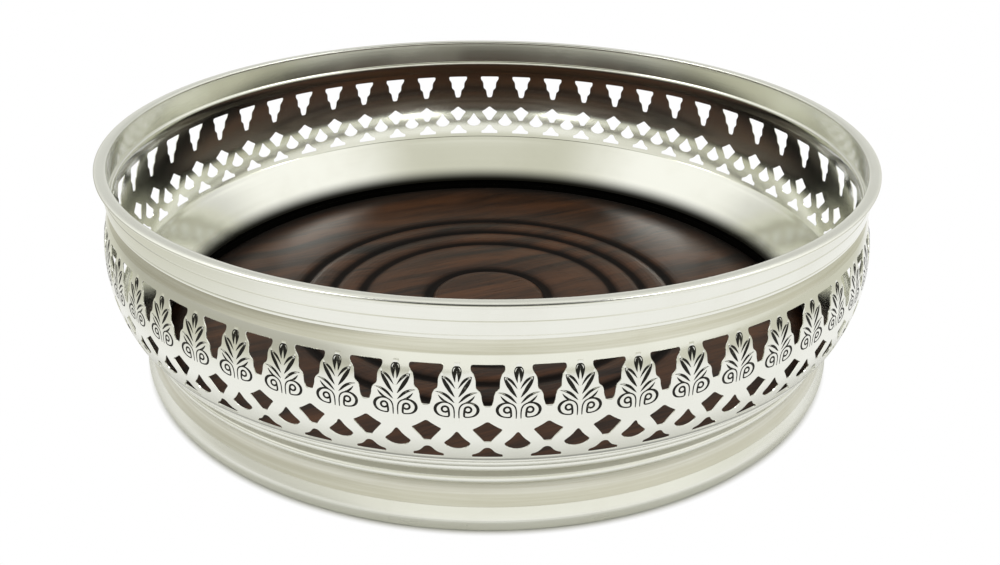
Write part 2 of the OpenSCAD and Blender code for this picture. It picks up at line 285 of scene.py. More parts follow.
class Finishes(bpy.types.PropertyGroup):
    """Colours of the finishes"""

    silver: colour_value("Silver", "Polished silver plate", (0.87, 0.875, 0.81))
    tarnish: colour_value("Tarnish", "Silver that has dulled a little", (0.66, 0.645, 0.54))
    # Oxide in the graver strokes, and also the black of the painted shade in the silver's seams and gap and of the
    # gap's painted shade finish.
    oxide_and_shade_black: colour_value("Blackening", "Oxide in the graver strokes", (0.022, 0.021, 0.017))
    wood_dark: colour_value("Dark wood", "Dark bands and pores of the wood", (0.009, 0.0045, 0.0026))
    wood_light: colour_value("Light wood", "Light bands of the wood", (0.108, 0.042, 0.0165))
    # Painted shade: the near-black that the wood darkens towards in its grooves and at its edge, more on its far half.
    shade_black_brown: colour_value("Old wax", "Wax and dust in the wood's grooves and at its edge", (0.003, 0.0022, 0.0016))
    felt: colour_value("Felt", "Felt of the pad", (0.03, 0.1, 0.05))
    brass: colour_value("Brass", "Brass of the screws", (0.7, 0.55, 0.28))


class StageSizes(bpy.types.PropertyGroup):
    """Camera, floor and light"""

    camera_place: lengths_value("Camera", "Place of the camera", (0, -0.16897, 0.09368))
    camera_pitch: angle_value("Pitch", "How far the camera looks down", 0.474)
    camera_yaw: angle_value("Yaw", "How far the camera looks to the right", 0.0132)
    camera_roll: angle_value("Roll", "How far the camera is turned about its view", 0.0123)
    lens: FloatProperty(name="Lens", description="Focal length in millimetres", default=35.38)
    floor_radius: length_value("Floor", "Radius of the floor", 3)
    floor_drop: length_value("Floor drop", "How far the floor lies under the pad", 0.00004)
    floor_colour: colour_value("Floor colour", "Colour of the floor", (0.9, 0.9, 0.89))
    room_colour: colour_value("Room colour", "Walls of the studio", (0.66, 0.655, 0.56))
    back_colour: colour_value("Back colour", "Far wall of the studio", (0.92, 0.92, 0.88))
    corner_colour: colour_value("Corner colour", "Shaded corner of the studio", (0.3, 0.29, 0.25))
    ceiling_colour: colour_value("Ceiling colour", "Ceiling of the studio", (0.045, 0.045, 0.04))
    sweep_colour: FloatVectorProperty(
        name="Sweep colour", description="Bright sweep and sides of the studio", default=(1.1, 1.1, 1.07), size=3,
        subtype="COLOR", min=0, soft_max=1)
    lamp_place: lengths_value("Lamp", "Place of the right lamp; the left lamp mirrors it", (0.3, 0.18, 0.63))
    lamp_size: length_value("Lamp size", "Side of each square lamp", 0.2)
    left_lamp: FloatProperty(name="Left lamp", description="Brightness of the left lamp", default=5.5, min=0)
    right_lamp: FloatProperty(name="Right lamp", description="Brightness of the right lamp", default=4.5, min=0)


class Term:
    """A socket that takes part in sums: each operator adds a Math node."""

    def __init__(self, sheet, socket):
        self.sheet = sheet
        self.socket = socket

    def __add__(self, other):
        return self.sheet.math("ADD", self, other)

    def __sub__(self, other):
        return self.sheet.math("SUBTRACT", self, other)

    def __rsub__(self, other):
        return self.sheet.math("SUBTRACT", other, self)

    def __mul__(self, other):
        return self.sheet.math("MULTIPLY", self, other)

    def __truediv__(self, other):
        return self.sheet.math("DIVIDE", self, other)

    def __rtruediv__(self, other):
        return self.sheet.math("DIVIDE", other, self)

    __radd__ = __add__
    __rmul__ = __mul__


class NodeSheet:
    """A node tree that nodes are added to by type, settings and sockets."""

    def __init__(self, tree):
        self.tree = tree
        tree.nodes.clear()

    def add(self, kind, settings=(), sockets=(), output=0):
        node = self.tree.nodes.new(kind)
        for name, value in dict(settings).items():
            setattr(node, name, value)
        pairs = sockets.items() if isinstance(sockets, dict) else enumerate(sockets)
        for key, value in pairs:
            if isinstance(value, Term):
                self.tree.links.new(value.socket, node.inputs[key])
            else:
                node.inputs[key].default_value = value
        return Term(self, node.outputs[output]) if node.outputs else node

    def math(self, operation, *values):
        return self.add("ShaderNodeMath", {"operation": operation}, values)

    def largest(self, first, *others):
        for other in others:
            first = self.math("MAXIMUM", first, other)
        return first

    def away(self, x, y):
        return self.math("SQRT", x * x + y * y)

    def smooth(self, value, low, high):
        return self.add(
            "ShaderNodeMapRange", {"interpolation_type": "SMOOTHSTEP"},
            {"Value": value, "From Min": low, "From Max": high})

    def band(self, value, rise, full, fall, gone):
        return self.smooth(value, rise, full) * (1 - self.smooth(value, fall, gone))

    def mix(self, share, first, second):
        return self.add("ShaderNodeMix", {"data_type": "RGBA"}, {0: share, 6: first, 7: second}, output=2)

    def split(self, vector):
        node = self.add("ShaderNodeSeparateXYZ", (), [vector]).socket.node
        return [Term(self, socket) for socket in node.outputs]

    def join(self, x, y, z):
        return self.add("ShaderNodeCombineXYZ", (), [x, y, z])

    def noise(self, place, scale, detail=2.0, roughness=0.5):
        return self.add(
            "ShaderNodeTexNoise", (), {"Vector": place, "Scale": scale, "Detail": detail, "Roughness": roughness})

    def drawn_noise(self, parts, scales, detail=2.0, roughness=0.5):
        place = self.join(*(part * scale for part, scale in zip(parts, scales)))
        return self.noise(place, 1, detail, roughness)

    def bump(self, height, strength, distance):
        return self.add("ShaderNodeBump", (), {"Strength": strength, "Distance": distance, "Height": height})

    def surface(self, **sockets):
        named = {name.replace("_", " "): value for name, value in sockets.items()}
        self.add("ShaderNodeOutputMaterial", (), [self.add("ShaderNodeBsdfPrincipled", (), named)])


def opaque(colour, share=1):
    """A colour, or a share of it, with full alpha, as a socket takes it."""
    return (*(share * part for part in colour), 1)


def silver_finish(sheet, place, colours):
    """Polished silver plate: polishing lines round the axis, tarnish in the hollows, painted shade darkening the
    concave waist, and painted black shade in the seams and the gap above the floor.
    """
    x, y, z = sheet.split(place)
    radius = sheet.away(x, y)

    def beyond(slope, low, high):
        return sheet.smooth(radius - z * slope, low, high)

    round_axis = (x / radius, y / radius, z + radius * 0.7)
    lines = sheet.drawn_noise(round_axis, (1.6, 1.6, 2600), 5, 0.65)
    fine_lines = sheet.drawn_noise(round_axis, (3, 3, 9000))
    streaks = sheet.smooth(lines, 0.33, 0.67)
    cloud = sheet.smooth(sheet.noise(place, 85, 4, 0.6), 0.42, 0.75)
    outside = beyond(*OUTSIDE_CONE)
    neck = sheet.band(z, *NECK_BAND) * sheet.smooth(radius, *NECK_RADII)
    hollow = sheet.band(z, *HOLLOW_BAND) * sheet.smooth(radius, *HOLLOW_RADII)
    waist = sheet.band(z, *WAIST_BAND) * outside
    foot = (1 - sheet.smooth(z, *FOOT_TOP_HEIGHTS)) * outside
    recess = sheet.largest(neck, hollow, waist)
    tarnish = sheet.math("MINIMUM", cloud * 0.14 + lines * 0.12 + recess * (0.5 + streaks * 0.45), 1)
    bright = sheet.mix(tarnish, opaque(colours.silver), opaque(colours.tarnish))
    # Painted shade: the concave waist between the reeds and the bead is darkened towards a dull grey.
    waist_shade = sheet.mix(waist * 0.36, bright, opaque(colours.tarnish, 0.45))
    # Painted shade: inside, the silver fades towards black near the floor, where shadow falls in the gap under the
    # ring.
    floor_gap_shade = sheet.band(z, *FLOOR_GAP_SHADE_BAND) * (1 - beyond(*INSIDE_CONE))
    # Painted shade: a dark line in the crease between the two reeds.
    reed_crease_shade = sheet.band(z, *REED_CREASE_SHADE_BAND) * outside * 0.85
    # Painted shadow: a dark line where the wall's lower edge meets the foot.
    wall_edge_shadow = sheet.band(z, *WALL_EDGE_SHADOW_BAND) * beyond(*WALL_EDGE_SHADOW_CONE) * 0.45
    # The painted shade of the floor gap, the reed crease and the wall edge, mixed towards half the black.
    gap = sheet.largest(floor_gap_shade, reed_crease_shade, wall_edge_shadow)
    rim = sheet.smooth(z, *RIM_HEIGHTS)
    waves = sheet.noise(place, 170, 1)
    sheet.surface(
        Base_Color=sheet.mix(gap, waist_shade, opaque(colours.oxide_and_shade_black, 0.5)),
        Metallic=1,
        Roughness=0.1 + lines * 0.06 + cloud * 0.03 + recess * 0.08 + foot * 0.12 + rim * 0.08,
        Normal=sheet.bump(waves * 0.2 + lines * 0.2 + fine_lines * 0.1, 0.1, 0.00004),
    )


def blackened_finish(sheet, place, colours):
    """Oxide in the graver strokes, worn a little."""
    grains = sheet.noise(place, 5200, 3)
    wear = sheet.smooth(sheet.noise(place, 1300), 0.62, 0.8)
    sheet.surface(
        Base_Color=sheet.mix(wear * 0.35, opaque(colours.oxide_and_shade_black), opaque(colours.tarnish)),
        Metallic=0.85,
        Roughness=0.32 + grains * 0.25,
        Normal=sheet.bump(grains, 0.2, 0.00002),
    )


def gap_shade_finish(sheet, place, colours):
    """Painted shade in the gap between the foot and the floor: a matte near-black that stands for the shadow there."""
    grains = sheet.noise(place, 900, 3)
    sheet.surface(
        Base_Color=sheet.mix(grains, opaque(colours.oxide_and_shade_black, 0.08), opaque(colours.oxide_and_shade_black, 0.3)),
        Roughness=0.75 + grains * 0.2,
        Normal=sheet.bump(grains, 0.1, 0.00002),
        Specular_IOR_Level=0,
    )


def wood_finish(sheet, place, colours):
    """Dark turned hardwood: bands, fibres and pores along the grain, with painted near-black shade in the grooves and
    at the edge, more on the far half.
    """
    grain_angle = bpy.context.scene.coaster_floor.grain_angle
    x, y, z = sheet.split(
        sheet.add("ShaderNodeMapping", (), {"Vector": place, "Rotation": (0, 0, -grain_angle)}))
    drift = sheet.drawn_noise((x, y, z), (30, 60, 60)) * 0.012
    bands = sheet.drawn_noise((x, y + drift, z), (18, 210, 210), 4, 0.6)
    fibres = sheet.drawn_noise((x, y, z), (90, 1900, 1900), 4, 0.7)
    pores = sheet.smooth(sheet.drawn_noise((x, y, z), (260, 3600, 1500)), 0.6, 0.7)
    _, back, height = sheet.split(place)
    radius = sheet.away(x, y)
    # Painted shade: the wood darkens towards its edge, more on its far half, where the ring's shadow falls.
    edge_shade = sheet.smooth(radius, *WOOD_EDGE_SHADE_RADII) * (0.6 + sheet.smooth(back, *FAR_EDGE_SHADE_PLACES) * 0.4)
    # Painted shade: the low grooves of the floor darken almost to black.
    groove_shade = (1 - sheet.smooth(height, *GROOVE_SHADE_HEIGHTS)) * (1 - sheet.smooth(radius, *GROOVE_SHADE_RADII))
    groove_and_edge_shade = sheet.largest(groove_shade, edge_shade)
    tone = sheet.smooth(bands * 0.7 + fibres * 0.3, 0.32, 0.68)
    timber = sheet.mix(tone, opaque(colours.wood_dark), opaque(colours.wood_light))
    pored = sheet.mix(pores * 0.6, timber, opaque(colours.wood_dark))
    sheet.surface(
        Base_Color=sheet.mix(groove_and_edge_shade * 0.94, pored, opaque(colours.shade_black_brown)),
        Roughness=0.24 + fibres * 0.1 + groove_and_edge_shade * 0.5,
        Normal=sheet.bump(fibres - pores * 0.6, 0.35, 0.00004),
        Specular_IOR_Level=0.16,
    )


def felt_finish(sheet, place, colours):
    """Napped wool felt."""
    hairs = sheet.noise(place, 2600, 5, 0.7)
    nap = sheet.noise(place, 240, 3)
    sheet.surface(
        Base_Color=sheet.mix(hairs * 0.6 + nap * 0.4, opaque(colours.felt, 0.45), opaque(colours.felt)),
        Roughness=0.86 + hairs * 0.14,
        Normal=sheet.bump(hairs + nap, 0.8, 0.0002),
        Sheen_Weight=0.35,
    )


def brass_finish(sheet, place, colours):
    """Plain brass of the screws."""
    dull = sheet.noise(place, 900, 3)
    sheet.surface(
        Base_Color=sheet.mix(dull, opaque(colours.brass), opaque(colours.brass, 0.55)),
        Metallic=1,
        Roughness=0.25 + dull * 0.3,
        Normal=sheet.bump(dull, 0.2, 0.00005),
    )


FINISHES = {
    "polished_silver": silver_finish, "blackened_silver": blackened_finish, "painted_gap_shade": gap_shade_finish,
    "waxed_wood": wood_finish, "wool_felt": felt_finish, "plain_brass": brass_finish,
}


def new_finish(name):
    """A material, the sheet of its nodes and the place on the piece that they read."""
    material = bpy.data.materials.get(name) or bpy.data.materials.new(name)
    material.use_nodes = True
    sheet = NodeSheet(material.node_tree)
    return material, sheet, sheet.add("ShaderNodeTexCoord", output="Object")


def finish(name):
    """One of the coaster's finishes, made once and shared."""
    material = bpy.data.materials.get(name)
    if not material:
        material, sheet, place = new_finish(name)
        FINISHES[name](sheet, place, bpy.context.scene.coaster_finishes)
    return material


def dress(mesh, material):
    """Gives a mesh one finish."""
    mesh.materials.clear()
    mesh.materials.append(material)


def outwards(mesh):
    """Turns the faces of a closed mesh outwards."""
    work = bmesh.new()
    work.from_mesh(mesh)
    bmesh.ops.recalc_face_normals(work, faces=work.faces)
    work.to_mesh(mesh)
    work.free()


def new_piece(name, points, faces):
    """A mesh object at the origin from points in metres, closed and with its faces outwards."""
    mesh = bpy.data.meshes.new(name)
    mesh.from_pydata([tuple(point) for point in points], [], faces)
    outwards(mesh)
    piece = bpy.data.objects.new(name, mesh)
    bpy.context.scene.collection.objects.link(piece)
    return piece


def soften(piece, sharp_angle=35):
    """Smooth shading that stays crisp on edges over an angle in degrees."""
    piece.data.shade_smooth()
    piece.data.set_sharp_from_angle(angle=math.radians(sharp_angle))


def held(section, closed, reach=0.05):
    """A half section with extra points close to the ends of its long runs, so that shading bends only there."""
    result = []
    for index, here in enumerate(section):
        result.append(here)
        if index == len(section) - 1 and not closed:
            break
        there = section[(index + 1) % len(section)]
        length = math.dist(here, there)
        if length > 6 * reach:
            for share in (reach / length, 1 - reach / length):
                result.append(tuple(a + (b - a) * share for a, b in zip(here, there)))
    return result


def turn(name, section, steps=360):
    """A piece turned on the axis from a closed half section in mm; a section that meets the axis is capped there."""
    on_axis = any(radius == 0 for radius, _ in section)
    section = held(section, not on_axis)
    points, rings = [], []
    for radius, height in section:
        count = 1 if radius == 0 else steps
        angles = np.arange(count) * 2 * math.pi / steps
        rings.append(range(len(points), len(points) + count))
        points += [(radius * MM * math.cos(a), radius * MM * math.sin(a), height * MM) for a in angles]
    faces = []
    last = len(section) - 1 if on_axis else len(section)
    for index in range(last):
        low, high = rings[index], rings[(index + 1) % len(section)]
        for step in range(steps):
            after = (step + 1) % steps
            if len(low) == 1:
                faces.append((low[0], high[step], high[after]))
            elif len(high) == 1:
                faces.append((low[step], high[0], low[after]))
            else:
                faces.append((low[step], high[step], high[after], low[after]))
    piece = new_piece(name, points, faces)
    soften(piece)
    return piece


def arc(middle, radius, first, last, steps):
    """Points of an arc, angles in degrees."""
    angles = np.radians(np.linspace(first, last, steps))
    return [(middle[0] + radius * math.cos(a), middle[1] + radius * math.sin(a)) for a in angles]


def settle(piece, node, material=None):
    """Gives a piece its finish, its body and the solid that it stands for."""
    if material:
        dress(piece.data, material)
    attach(piece, "root")
    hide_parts(node)


def shade_gap(piece, chosen):
    """Gives the faces of a piece that line the gap round the floor their painted shade finish."""
    piece.data.materials.append(finish("painted_gap_shade"))
    for face in piece.data.polygons:
        if chosen(math.hypot(face.center.x, face.center.y) / MM, face.center.z / MM):
            face.material_index = 1


def smooth_stroke(points, spacing=0.19):
    """A stroke's middle line drawn through its points as an even curve, with half widths."""
    points = np.array(points, float)
    padded = np.vstack([2 * points[0] - points[1], points, 2 * points[-1] - points[-2]])
    drawn = []
    for a, b, c, d in zip(padded, padded[1:], padded[2:], padded[3:]):
        count = max(1, round(float(np.hypot(*(c - b)[:2])) / spacing))
        for t in np.arange(count) / count:
            drawn.append(0.5 * (2 * b + (c - a) * t + (2 * a - 5 * b + 4 * c - d) * t * t
                                + (3 * b - a - 3 * c + d) * t ** 3))
    drawn.append(points[-1])
    return np.array(drawn)


def smooth_section(points, spacing=0.26):
    """A half section drawn through its points as an even curve."""
    return [tuple(place) for place in smooth_stroke(points, spacing)]


def both_halves(right):
    """Strokes of a palmette's right half as even curves, and their mirror images."""
    drawn = [smooth_stroke(stroke) for stroke in right]
    return drawn + [stroke * (-1, 1, 1) for stroke in drawn]


def palmette_strokes():
    """All graver strokes of one palmette, as arrays of place, height and half width in mm."""
    turns = arc(EYE_CENTRE, EYE_RADIUS, EYE_FIRST_ANGLE, EYE_LAST_ANGLE, EYE_STEPS)
    eye = [(*place, EYE_HALF_WIDTH) for place in turns]
    return both_halves([BUD_STROKE, *LEAF_STROKES, SCROLL_STROKE + eye])


def stroke_outline(stroke):
    """The closed outline round a stroke."""
    middle, half = stroke[:, :2], stroke[:, 2:]
    run = np.gradient(middle, axis=0)
    run /= np.linalg.norm(run, axis=1)[:, None]
    side = np.stack([-run[:, 1], run[:, 0]], axis=1) * half
    return np.vstack([middle + side, (middle - side)[::-1]])


def stroke_depth(places, strokes):
    """How deep each place lies in the strokes, as a share of the full depth of the widest."""
    widest = max(stroke[:, 2].max() for stroke in strokes)
    deepest = np.zeros(len(places))
    for stroke in strokes:
        for a, b in zip(stroke, stroke[1:]):
            run = (b - a)[:2]
            t = np.clip(((places - a[:2]) @ run) / (run @ run), 0, 1)
            away = np.linalg.norm(places - a[:2] - t[:, None] * run, axis=1)
            half = a[2] + t * (b[2] - a[2])
            share = np.sqrt(half / widest) * np.clip(1 - away / half, 0, 1)
            deepest = np.maximum(deepest, share)
    return deepest


def half_opening(shares, size):
    """The right half of an opening, from its top to its foot, in mm."""
    width, height, top = (part / MM for part in size)
    return np.array([(u * width / 2, top - v * height) for u, v in shares])


def widened(outline, by):
    """A half outline moved out by a distance, with its ends kept on the middle line."""
    run = np.diff(outline, axis=0)
    run /= np.linalg.norm(run, axis=1)[:, None]
    out = np.stack([-run[:, 1], run[:, 0]], axis=1)
    mean = np.vstack([(0, 1), out[:-1] + out[1:], (0, -1)])
    mean /= np.linalg.norm(mean, axis=1)[:, None]
    return outline + by * mean


def inside(places, loop):
    """Whether each place lies in a closed loop."""
    found = np.zeros(len(places), bool)
    for (x0, y0), (x1, y1) in zip(loop, np.roll(loop, -1, axis=0)):
        crosses = (y0 > places[:, 1]) != (y1 > places[:, 1])
        with np.errstate(divide="ignore", invalid="ignore"):
            at = x0 + (places[:, 1] - y0) * (x1 - x0) / (y1 - y0)
        found ^= crosses & (places[:, 0] < at)
    return found


def swell_radius(height, bulge):
    """Radius of the arc on which a wall of a height swells by a bulge."""
    return ((height / 2) ** 2 + bulge ** 2) / (2 * bulge)


class PanelDrawing:
    """One panel of the wall, drawn flat in mm: place along the wall and height over its lower edge."""

    SEGMENTS = 8
    GRID = 0.78
    BACK_GRID = 1.6 * GRID
    CLEAR = 0.2
    TOLERANCE = 1e-5

    def __init__(self, sizes):
        self.sizes = sizes
        self.height = sizes.height / MM
        self.middle_radius = (sizes.widest_radius - sizes.bulge * 2 / 3) / MM
        self.half = math.pi * self.middle_radius / sizes.motif_count
        self.along = np.linspace(-self.half, self.half, self.SEGMENTS + 1)
        self.strokes = palmette_strokes()
        self.painted_glints = both_halves(PAINTED_GLINT_STROKES)
        self.openings = []
        for shares, size, on_edge in (
            (LEAF_GAP_SHARES, sizes.leaf_gap, True), (DIAMOND_SHARES, sizes.diamond, True),
            (TENT_SHARES, sizes.tent, True), (DROP_SHARES, sizes.drop, False),
        ):
            wall = half_opening(shares, size)
            front = widened(wall, sizes.edge / MM)
            if on_edge:
                for side in (1, -1):
                    shift = np.array((-self.half * side, 0))
                    self.openings.append((front * (side, 1) + shift, wall * (side, 1) + shift, False))
            else:
                rounds = [np.vstack([half, half[-2:0:-1] * (-1, 1)]) for half in (front, wall)]
                self.openings.append((*rounds, True))

    def border(self, which):
        """Places round the panel's border, apart from those of the openings."""
        places = [(u, z) for u in self.along for z in (0, self.height)]
        ends = [0.0, self.height]
        for opening in self.openings:
            if not opening[2] and opening[which][0][0] < 0:
                ends += [opening[which][0][1], opening[which][-1][1]]
        ends.sort()
        for low, high in zip(ends[::2], ends[1::2]):
            steps = max(1, round((high - low) / self.GRID))
            for z in np.linspace(low, high, steps + 1)[1:-1]:
                places += [(-self.half, z), (self.half, z)]
        return np.array(places)

    def triangles(self, which, engraved):
        """Places and triangles of one face of the sheet."""
        lines = [(opening[which], opening[2]) for opening in self.openings]
        if engraved:
            for stroke in self.strokes:
                lines += [(stroke_outline(stroke), True), (stroke[:, :2], False)]
            lines += [(stroke_outline(tip), True) for tip in self.painted_glints]
        places, edges = list(self.border(which)), []
        for line, closed in lines:
            first = len(places)
            places += list(line)
            edges += [(first + i, first + i + 1) for i in range(len(line) - 1)]
            if closed:
                edges.append((first + len(line) - 1, first))
        fixed = np.array(places)
        grid = self.GRID if engraved else self.BACK_GRID
        columns = np.arange(-self.half + grid / 2, self.half, grid)
        rows = np.arange(grid / 2, self.height, grid)
        spare = np.array([(u, z) for u in columns for z in rows])
        away = np.linalg.norm(spare[:, None] - fixed[None], axis=2).min(axis=1)
        places += list(spare[away > self.CLEAR])
        drawn = delaunay_2d_cdt([Vector(place) for place in places], edges, [], 0, self.TOLERANCE)
        points = np.array([tuple(place) for place in drawn[0]])
        faces = np.array([tuple(face) for face in drawn[2]])
        middles = points[faces].mean(axis=1)
        kept = np.ones(len(faces), bool)
        for opening in self.openings:
            kept &= ~inside(middles, opening[which])
        return points, faces[kept], middles[kept]

    def on_wall(self, places, sunk, inner=False):
        """Places on the swelling wall, in metres, sunk below its outside by a depth in mm."""
        swell = swell_radius(self.height, self.sizes.bulge / MM)
        middle = self.sizes.widest_radius / MM - swell
        rise = places[:, 1] - self.height / 2
        if inner:
            radius, up = middle + np.sqrt((swell - self.sizes.sheet / MM) ** 2 - rise ** 2), rise
        else:
            share = (swell - sunk) / swell
            radius, up = middle + np.sqrt(swell ** 2 - rise ** 2) * share, rise * share
        return self.round_axis(places[:, 0], radius, up + self.height / 2 + self.sizes.lower_edge / MM)

    def round_axis(self, along, radius, height):
        """Places in metres from those along the wall, their radius and their height."""
        angle = along / self.middle_radius
        height = np.broadcast_to(height, len(along))
        return np.stack([radius * np.cos(angle), radius * np.sin(angle), height], axis=1) * MM


def panel_mesh(sizes):
    """One panel of the wall as a mesh: engraved outside, inside, bevels, cut edges, neck, flange and ledge."""
    drawing = PanelDrawing(sizes)
    points, faces, engraved = [], [], []

    def take(new_points, new_faces, marks=None):
        first = len(points)
        points.extend(map(tuple, new_points))
        faces.extend(tuple(int(i) + first for i in face) for face in new_faces)
        engraved.extend(marks if marks is not None else [0] * len(new_faces))

    def strip(rows, closed=False):
        count = len(rows[0])
        across = range(count if closed else count - 1)
        quads = [
            (k * count + i, k * count + (i + 1) % count, (k + 1) * count + (i + 1) % count, (k + 1) * count + i)
            for k in range(len(rows) - 1) for i in across
        ]
        take(np.vstack(rows), quads)

    flat, front, middles = drawing.triangles(0, True)
    depth = stroke_depth(flat, drawing.strokes) * sizes.engraving / MM
    black = stroke_depth(middles, drawing.strokes) > BLACK_FROM
    # Painted highlights: faces in the glint spots stay polished silver.
    black &= stroke_depth(middles, drawing.painted_glints) < BLACK_FROM
    take(drawing.on_wall(flat, depth), front, black.astype(int))
    flat, back, _ = drawing.triangles(1, False)
    take(drawing.on_wall(flat, 0, inner=True), back[:, ::-1])
    edge = sizes.edge / MM
    for outer, wall, closed in drawing.openings:
        strip([drawing.on_wall(outer, 0), drawing.on_wall(wall, edge), drawing.on_wall(wall, 0, inner=True)], closed)
    low = np.stack([drawing.along, np.zeros(len(drawing.along))], axis=1)
    high = low + (0, drawing.height)
    strip([drawing.on_wall(low, 0), drawing.on_wall(low, 0, inner=True)])
    section = NECK_OUTSIDE + FLANGE_EDGE + LEDGE_INSIDE
    strip([drawing.on_wall(high, 0), *(drawing.round_axis(drawing.along, *place) for place in section),
           drawing.on_wall(high, 0, inner=True)])

    mesh = bpy.data.meshes.new("wall_panel")
    mesh.from_pydata(points, [], faces)
    mark = mesh.attributes.new("engraved", "INT", "FACE")
    mark.data.foreach_set("value", np.array(engraved, np.int32))
    work = bmesh.new()
    work.from_mesh(mesh)
    bmesh.ops.remove_doubles(work, verts=work.verts, dist=2e-7)
    bmesh.ops.dissolve_degenerate(work, edges=work.edges, dist=1e-7)
    work.to_mesh(mesh)
    work.free()
    return mesh


def even_shading(piece, sizes, nearness=3e-6, alignment=0.9):
    """Sets the shading of the plain wall, outside and inside, to that of its true swelling surface."""
    mesh = piece.data
    swell = swell_radius(sizes.height, sizes.bulge)
    places = np.empty(len(mesh.vertices) * 3)
    mesh.vertices.foreach_get("co", places)
    places = places.reshape(-1, 3)
    radius = np.hypot(places[:, 0], places[:, 1])
    out = radius - (sizes.widest_radius - swell)
    up = places[:, 2] - sizes.lower_edge - sizes.height / 2
    reach = np.hypot(out, up)
    true = np.stack([places[:, 0] / radius * out, places[:, 1] / radius * out, up], axis=1) / reach[:, None]
    corners = np.empty(len(mesh.loops), np.int32)
    mesh.loops.foreach_get("vertex_index", corners)
    shading = np.empty(len(mesh.loops) * 3)
    mesh.corner_normals.foreach_get("vector", shading)
    shading = shading.reshape(-1, 3)
    for surface_reach, way in ((swell, 1), (swell - sizes.sheet, -1)):
        on_surface = np.abs(reach - surface_reach) < nearness
        for face in mesh.polygons:
            loops = slice(face.loop_start, face.loop_start + face.loop_total)
            if on_surface[corners[loops]].all() and way * (true[corners[loops]] @ face.normal).min() > alignment:
                shading[loops] = way * true[corners[loops]]
    mesh.normals_split_custom_set(shading)


def ring_tree():
    """Geometry nodes that repeat a panel round the axis, weld the joins and give it its two finishes."""
    tree = bpy.data.node_groups.new("Ring of panels", "GeometryNodeTree")
    for name, kind, way in (
        ("Geometry", "Geometry", "INPUT"), ("Count", "Int", "INPUT"), ("First angle", "Float", "INPUT"),
        ("Weld", "Float", "INPUT"), ("Finish", "Material", "INPUT"), ("Engraved finish", "Material", "INPUT"),
        ("Geometry", "Geometry", "OUTPUT"),
    ):
        tree.interface.new_socket(name, in_out=way, socket_type="NodeSocket" + kind)
    sheet = NodeSheet(tree)
    entry = sheet.add("NodeGroupInput").socket.node
    panel, count, first, weld, plain_finish, engraved_finish = [Term(sheet, s) for s in entry.outputs[:6]]
    turned = first + sheet.add("GeometryNodeInputIndex") * (2 * math.pi / count)
    angle = sheet.add("FunctionNodeEulerToRotation", (), [sheet.join(0, 0, turned)])
    spots = sheet.add("GeometryNodePoints", (), {"Count": count})
    copies = sheet.add(
        "GeometryNodeInstanceOnPoints", (), {"Points": spots, "Instance": panel, "Rotation": angle})
    real = sheet.add("GeometryNodeRealizeInstances", (), {"Geometry": copies})
    welded = sheet.add("GeometryNodeMergeByDistance", (), {"Geometry": real, "Distance": weld})
    plain = sheet.add("GeometryNodeSetMaterial", (), {"Geometry": welded, "Material": plain_finish})
    marked = sheet.add("GeometryNodeInputNamedAttribute", {"data_type": "INT"}, {"Name": "engraved"})
    both = sheet.add(
        "GeometryNodeSetMaterial", (), {"Geometry": plain, "Selection": marked, "Material": engraved_finish})
    sheet.add("NodeGroupOutput", (), [both])
    return tree


def made_plain(piece):
    """Turns what a piece's modifiers show into its own plain mesh."""
    depsgraph = bpy.context.evaluated_depsgraph_get()
    mesh = bpy.data.meshes.new_from_object(piece.evaluated_get(depsgraph))
    piece.modifiers.clear()
    piece.data = mesh
    mesh.name = piece.name


class COASTER_OT_pierced_wall(bpy.types.Operator):
    """Build the pierced and engraved wall with its neck, flange and ledge"""

    bl_idname = "coaster.pierced_wall"
    bl_label = "Pierced Wall"

    def execute(self, context):
        sizes = context.scene.coaster_wall
        panel = panel_mesh(sizes)
        panel.materials.append(finish("polished_silver"))
        piece = bpy.data.objects.new("pierced_wall", panel)
        tree = ring_tree()
        ring = piece.modifiers.new("Ring of panels", "NODES")
        ring.node_group = tree
        wanted = {
            "Count": sizes.motif_count,
            "First angle": math.radians(-90) + math.pi / sizes.motif_count,
            "Weld": 1e-6,
            "Finish": finish("polished_silver"),
            "Engraved finish": finish("blackened_silver"),
        }
        for item in tree.interface.items_tree:
            if item.in_out == "INPUT" and item.name in wanted:
                ring[item.identifier] = wanted[item.name]
        context.scene.collection.objects.link(piece)
        made_plain(piece)
        outwards(piece.data)
        soften(piece, 28)
        even_shading(piece, sizes)
        settle(piece, "gallery")
        return {"FINISHED"}


class COASTER_OT_rim(bpy.types.Operator):
    """Build the plain border with its incised line, and the rim wire"""

    bl_idname = "coaster.rim"
    bl_label = "Rim"

    def execute(self, context):
        sizes = context.scene.coaster_rim
        silver = finish("polished_silver")
        outside, sheet, soft = sizes.border_radius / MM, sizes.border_sheet / MM, BORDER_ROUNDING
        low, high = BORDER_BOX[0].z / MM, sizes.wire_height / MM - BORDER_UNDER_WIRE
        line, half, depth = low + sizes.line_height / MM, sizes.line_width / MM / 2, sizes.line_depth / MM
        section = arc((outside - soft, low + soft), soft, -90, 0, steps=6)
        section += [(outside - share * depth, line + along * half) for along, share in LINE_SHAPE]
        section += [(outside, high), (outside - sheet - sizes.border_lean / MM, high), (outside - sheet, low)]
        settle(turn("rim_border_band", section), "rim_border", silver)

        steps, width, thick = 64, sizes.wire_width / MM / 2, sizes.wire_thickness / MM / 2
        angles = np.arange(steps) * 2 * math.pi / steps
        across, up = (
            np.sign(part) * np.abs(part) ** (2 / sizes.wire_squareness) for part in (np.cos(angles), np.sin(angles)))
        middle = (sizes.wire_radius / MM, sizes.wire_height / MM)
        wire = turn("rim_wire_bead", [(middle[0] + width * a, middle[1] + thick * u) for a, u in zip(across, up)])
        settle(wire, "rim_wire", silver)
        return {"FINISHED"}


